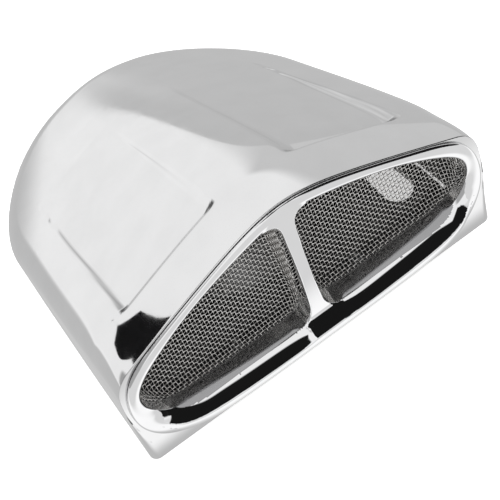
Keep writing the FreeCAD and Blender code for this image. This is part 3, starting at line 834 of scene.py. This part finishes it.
# wall sections for a range of pan depths: arc length, lean and drop at each turn
PAN_DEPTHS = np.linspace(3.0, 22.0, 40)
TURN = np.linspace(0, math.pi / 2, 160)
WALL_LEAN = PAN_WALL_LEAN * np.sin(TURN) ** (2 / PAN_WALL_POWER)
WALL_DROP = PAN_DEPTHS[:, None] * (1 - np.cos(TURN) ** (2 / PAN_WALL_POWER))
WALL_ARC = np.concatenate([
    np.zeros((len(PAN_DEPTHS), 1)),
    np.cumsum(np.hypot(np.diff(WALL_LEAN), np.diff(WALL_DROP, axis=1)), 1)], 1)
PAN_FLOOR = even(relax(
    RIGHT_INLET + inward_normals(RIGHT_INLET) * (PAN_WALL_LEAN + 0.1), 60), 500)


def pan_y(z):
    return PAN_Y + RAKE * (z - PAN_Z)


def draw_pan(across, up):
    """place flat sheet coordinates (up follows the rake) on the right pan; also
    returns how far each is past the end of the pan wall"""
    sheet_z = PAN_Z + up * RAKE_COS
    sheet = np.stack([across, sheet_z], 1)
    inside, near = loop_distance(sheet, PAN_FLOOR)
    near_x, near_z = near.T
    beyond = np.maximum(-inside, 0)
    outward = unit(sheet - near)
    depth = pan_y(near_z) - (mouth_y(near_z) + 6.0)
    # blend between the two wall sections on either side of the depth
    section = np.clip((depth - PAN_DEPTHS[0]) / (PAN_DEPTHS[1] - PAN_DEPTHS[0]),
                      0, len(PAN_DEPTHS) - 1.001)
    index = section.astype(int)
    weight = section - index
    wall_end = WALL_ARC[index, -1] * (1 - weight) + WALL_ARC[index + 1, -1] * weight
    lean = np.zeros(len(beyond))
    drop = np.zeros(len(beyond))
    for k in np.unique(index):
        m = index == k
        b, w = beyond[m], weight[m]
        lean[m] = (np.interp(b, WALL_ARC[k], WALL_LEAN) * (1 - w)
                   + np.interp(b, WALL_ARC[k + 1], WALL_LEAN) * w)
        drop[m] = (np.interp(b, WALL_ARC[k], WALL_DROP[k]) * (1 - w)
                   + np.interp(b, WALL_ARC[k + 1], WALL_DROP[k + 1]) * w)
    # past the wall the sheet lies flat as the flange
    flange = np.maximum(beyond - wall_end, 0)
    lean = lean + flange
    x = np.where(beyond > 0, near_x + outward[:, 0] * lean, across)
    z = np.where(beyond > 0, near_z + outward[:, 1] * lean, sheet_z)
    # the rake of the floor fades out down the wall
    fade = 1 - np.clip(drop / np.maximum(depth, 1), 0, 1)
    wall_y = pan_y(near_z) - drop + RAKE * (z - near_z) * fade
    y = np.where(beyond > 0, wall_y, pan_y(sheet_z))
    y = np.where(flange > 0, mouth_y(z) + 6.5, y)
    return np.stack([x, y, z], 1), beyond - wall_end


def wire_runs():
    """each wire as across, up, its index, crossings along it, and its weave sign"""
    x_low, z_low = PAN_FLOOR.min(0)
    x_high, z_high = PAN_FLOOR.max(0)
    left, right = x_low - 24, x_high + 24
    bottom, top = (z_low - PAN_Z) / RAKE_COS - 24, (z_high - PAN_Z) / RAKE_COS + 28
    columns = int((right - left) / PITCH)
    rows = int((top - bottom) / PITCH)
    per_pitch = 4
    along_up = np.arange(rows * per_pitch + 1) / per_pitch
    along_across = np.arange(columns * per_pitch + 1) / per_pitch
    runs = []
    for i in range(columns + 1):
        runs.append((np.full(len(along_up), left + i * PITCH), bottom + along_up * PITCH,
                     i, along_up, 1.0))
    for i in range(rows + 1):
        runs.append((left + along_across * PITCH,
                     np.full(len(along_across), bottom + i * PITCH), i, along_across, -1.0))
    return runs


def wire_tube(path, sheet_normals, sides):
    """points, normals and faces of a round wire along a path"""
    angle = 2 * math.pi * np.arange(sides) / sides
    cos_a, sin_a = np.cos(angle)[None, :, None], np.sin(angle)[None, :, None]
    tangent = unit(np.gradient(path, axis=0))
    sideways = unit(np.cross(tangent, sheet_normals))
    upright = np.cross(sideways, tangent)
    normals = sideways[:, None] * cos_a + upright[:, None] * sin_a
    points = path[:, None] + WIRE_R * normals
    i = np.arange(len(path) - 1)[:, None] * sides
    j = np.arange(sides)[None]
    j2 = (j + 1) % sides
    faces = np.stack([i + j, i + j2, i + sides + j2, i + sides + j], -1)
    return points.reshape(-1, 3), normals.reshape(-1, 3), faces.reshape(-1, 4)


def build_screen(name, side):
    """side is 1 for the right screen, -1 for the left, its mirror image"""
    sides = 6
    runs = wire_runs()
    across = np.concatenate([run[0] for run in runs])
    up = np.concatenate([run[1] for run in runs])
    step = 0.12
    points, past_wall = draw_pan(across, up)
    step_across, _ = draw_pan(across + step, up)
    step_up, _ = draw_pan(across, up + step)
    normals = unit(np.cross(step_across - points, step_up - points))
    normals = np.where((normals[:, 1] > 0)[:, None], -normals, normals)
    patches = Patches()
    first = 0
    for run_across, _, index, crossings, sign in runs:
        run = slice(first, first + len(run_across))
        first = run.stop
        crimp = sign * WIRE_R * 0.95 * np.cos(math.pi * (crossings + index))
        path = points[run] + normals[run] * crimp[:, None]
        # stretches of wire that stay on the pan and a narrow flange
        kept = np.concatenate([[0], (past_wall[run] < 1.6).astype(int), [0]])
        ends = np.flatnonzero(np.diff(kept))
        for start, end in zip(ends[::2], ends[1::2]):
            if end - start >= 4:
                patches.add(*wire_tube(path[start:end], normals[run][start:end], sides))
    points, normals, faces, materials = patches.joined()
    mirror = [side, 1, 1]
    ob = new_mesh(name + "_weave", points * mirror, faces, (WIRE,), normals * mirror,
                  materials)
    piece(ob, name)


build_shell()
build_bezel()
build_screen("left_screen", -1)
build_screen("right_screen", 1)

# ---------------------------------------------------------------------------
# Finishes of the CAD pieces that stay; those not listed are black steel
# ---------------------------------------------------------------------------
FINISH = {
    "bezel_seal": RUBBER, "base_gasket": RUBBER,
    "screen_frame_screws": ZINC, "bracket_bezel_screws": ZINC, "bracket_plate_screws": ZINC,
    "base_plate_screws": ZINC, "base_plate_washers": ZINC, "collar_screws": ZINC,
    "rivet_nuts": ZINC, "duct_collar": ALLOY,
}
for name, ob in NODES.items():
    if not ob.hide_render:
        ob.data.materials.clear()
        ob.data.materials.append(FINISH.get(name, BLACK))


# ---------------------------------------------------------------------------
# Stage: floor, flag, studio world, camera, light
# ---------------------------------------------------------------------------
def direction(azimuth, elevation):
    """unit vector from degrees; azimuth 0 is the front (-y), 90 the right (+x)"""
    a, e = math.radians(azimuth), math.radians(elevation)
    return np.array([math.sin(a) * math.cos(e), -math.cos(a) * math.cos(e), math.sin(e)])


def horizontal(azimuth):
    """level unit vector across a direction, 90 degrees further round"""
    a = math.radians(azimuth)
    return np.array([math.cos(a), math.sin(a), 0])


def floor_material():
    m = Material("floor_paper")
    paper = m.noise(scale=14.0, detail=3.0, roughness=0.5)
    m.set("Base Color", m.mix(m.remap(paper, 0.3, 0.7), (0.93, 0.93, 0.93),
                              (0.95, 0.95, 0.95)))
    m.set("Roughness", 0.9)
    m.set("Emission Color", (1, 1, 1, 1))
    m.set("Emission Strength", 0.6)
    # what mirrors see of the floor: brighter in front and far to the left rear (metres)
    separate = m.add("ShaderNodeSeparateXYZ")
    m.put(m.coords, separate.inputs[0])
    x, y = separate.outputs[0], separate.outputs[1]
    near = m.smooth_remap(y, -0.100, -0.112, 0.0, 1.0)
    front = m.math("MULTIPLY", near, m.smooth_remap(y, -0.135, -0.165, 1.0, 0.35))
    far = m.smooth_remap(y, 0.15, 0.42, 0.0, 1.0)
    left = m.smooth_remap(x, 0.20, -0.14, 0.0, 1.0)
    glow = m.math("ADD", 0.60, m.math("MULTIPLY", front, 0.55))
    rear_left = m.math("MULTIPLY", far, left)
    glow = m.math("ADD", glow, m.math("MULTIPLY", rear_left, 0.42))
    emission = m.add("ShaderNodeEmission")
    m.put(glow, emission.inputs["Strength"])
    light_path = m.add("ShaderNodeLightPath")
    mix = m.add("ShaderNodeMixShader")
    m.put(light_path.outputs["Is Glossy Ray"], mix.inputs[0])
    m.put(m.shader.outputs[0], mix.inputs[1])
    m.put(emission.outputs[0], mix.inputs[2])
    m.put(mix.outputs[0], m.tree.nodes["Material Output"].inputs["Surface"])
    return m.material


def make_floor(squares=24, half=2600.0):
    material = floor_material()
    line = [-half + 2 * half * i / squares for i in range(squares + 1)]
    points = np.array([(x, y + DUCT_Y, -0.05) for x in line for y in line])
    new_mesh("floor", points, grid_faces(squares + 1, squares + 1), (material,))


def make_flag():
    """small black flag beside the left of the shell, seen only in reflections"""
    azimuth, elevation = -142, 26
    beside = np.array([-92, 22, 76])    # the flag stands off this point on the left
    stand_off = 90
    # corners as (right, up) in the plane of the flag
    outline = [(-18.3, -19.6), (-18.3, 6.5), (-6.5, 29.4), (22.9, 78.4),
               (51.0, 55.6), (29.4, 35.9), (6.5, 0.0), (-9.8, -19.6)]
    m = Material("flag_left_cloth")
    weave = m.noise(scale=90.0, detail=4.0, roughness=0.6)
    m.set("Base Color", m.mix(weave, (0.004, 0.004, 0.004), (0.010, 0.010, 0.011)))
    m.set("Roughness", 0.95)
    m.set("Specular IOR Level", 0.1)
    normal = direction(azimuth, elevation)
    right = horizontal(azimuth)
    up = np.cross(normal, right)
    centre = beside + stand_off * normal
    points = np.array([centre + right * x + up * y for x, y in outline])
    mesh = bpy.data.meshes.new("flag_left")
    mesh.from_pydata(metres(points).tolist(), [], [tuple(range(len(points)))])
    mesh.materials.append(m.material)
    ob = add_object("flag_left", mesh)
    ob.visible_camera = False
    ob.visible_diffuse = False
    ob.visible_shadow = False
    ob.visible_transmission = False


def card_mask(w, view, azimuth, elevation, half_width, half_height, softness):
    """mask of a soft-edged rectangle seen in a direction, all sizes in degrees"""
    normal = Vector(direction(azimuth, elevation))
    right = Vector(horizontal(azimuth))
    up = normal.cross(right)

    def dot(vector):
        node = w.add("ShaderNodeVectorMath", operation="DOT_PRODUCT")
        w.put(view, node.inputs[0])
        node.inputs[1].default_value = vector
        return node.outputs["Value"]

    ahead = w.math("MAXIMUM", dot(normal), 0.001)
    offsets = [w.math("ABSOLUTE", w.math("DIVIDE", dot(axis), ahead))
               for axis in (right, up)]
    soft = math.tan(math.radians(softness))
    masks = []
    for offset, half in zip(offsets, (half_width, half_height)):
        size = math.tan(math.radians(half))
        masks.append(w.smooth_remap(offset, size + soft, max(size - soft, 0)))
    return w.math("MULTIPLY", *masks)


# The studio as the polished metal sees it, over a white tent; later cards cover earlier.
# azimuth, elevation, half width, half height, softness, brightness
CARDS = [
    (124, 4, 37, 46, 14, 0.68),     # greyer right side and back
    (-66, 14, 52, 40, 12, 0.42),    # grey left
    (-5, 22, 10, 27, 3, 1.0),       # white strip in front
    (14, -3, 4, 18, 2, 0.83),       # narrow light strip, right of front
    (45, 37, 36.5, 20, 2, 0.010),   # dark front right, upper part
    (54, 6, 31, 14, 3, 0.012),      # dark front right, lower part
]


def make_world():
    world = bpy.data.worlds.new("studio")
    bpy.context.scene.world = world
    world.use_nodes = True
    w = Nodes(world.node_tree)
    w.tree.nodes.clear()
    view = w.add("ShaderNodeTexCoord").outputs["Generated"]
    studio = 1.0
    for *card, brightness in CARDS:
        mask = card_mask(w, view, *card)
        mix = w.add("ShaderNodeMix", data_type="FLOAT")
        w.put(mask, mix.inputs["Factor"])
        w.put(studio, mix.inputs[2])
        mix.inputs[3].default_value = brightness
        studio = mix.outputs[0]
    # the camera itself sees plain light grey
    light_path = w.add("ShaderNodeLightPath")
    reflected = w.add("ShaderNodeBackground")
    w.put(studio, reflected.inputs["Color"])
    backdrop = w.add("ShaderNodeBackground")
    backdrop.inputs["Color"].default_value = (0.93, 0.93, 0.93, 1)
    mix = w.add("ShaderNodeMixShader")
    w.put(light_path.outputs["Is Camera Ray"], mix.inputs[0])
    w.put(reflected.outputs[0], mix.inputs[1])
    w.put(backdrop.outputs[0], mix.inputs[2])
    output = w.add("ShaderNodeOutputWorld")
    w.put(mix.outputs[0], output.inputs["Surface"])


def make_camera():
    """camera at the front left, looking down on the cowl"""
    # angles in radians
    heading, descent, roll = 0.3922540367948774, 0.9510530447962882, -0.2938978161194942
    # millimetres from the frame origin
    distance = 1230.7261919708046
    shift_right, shift_up = -38.80446478783479322, 44.482987305069734
    shift_right = -38.80446783479322
    look = np.array([math.sin(heading) * math.cos(descent),
                     math.cos(heading) * math.cos(descent), -math.sin(descent)])
    level = np.array([math.cos(heading), -math.sin(heading), 0])
    above = np.cross(level, look)
    c, s = math.cos(roll), math.sin(roll)
    right = c * level + s * above
    up = -s * level + c * above
    place = metres(-look * distance + right * shift_right + up * shift_up)
    data = bpy.data.cameras.new("camera")
    data.sensor_width = 36.0
    data.lens = 167.92075726
    data.clip_start, data.clip_end = 0.05, 20.0
    camera = add_object("camera", data)
    rows = [[right[i], up[i], -look[i], place[i]] for i in range(3)]
    camera.matrix_world = Matrix(rows + [[0, 0, 0, 1]])
    bpy.context.scene.camera = camera


def make_light():
    """square soft light high in front, 1.3 m away, left out of reflections"""
    light = bpy.data.lights.new("soft_top", "AREA")
    light.shape = "RECTANGLE"
    light.size = light.size_y = 1.2
    light.energy = 9.0
    ob = add_object("soft_top", light)
    towards = Vector(direction(azimuth=-20, elevation=68))
    ob.location = towards * 1.3
    ob.rotation_mode = "QUATERNION"
    ob.rotation_quaternion = towards.to_track_quat("Z", "Y")
    ob.visible_glossy = False


make_floor()
make_flag()
make_world()
make_camera()
make_light()

view_settings = bpy.context.scene.view_settings
view_settings.view_transform = "Standard"
view_settings.look = "None"
view_settings.exposure = 0.0
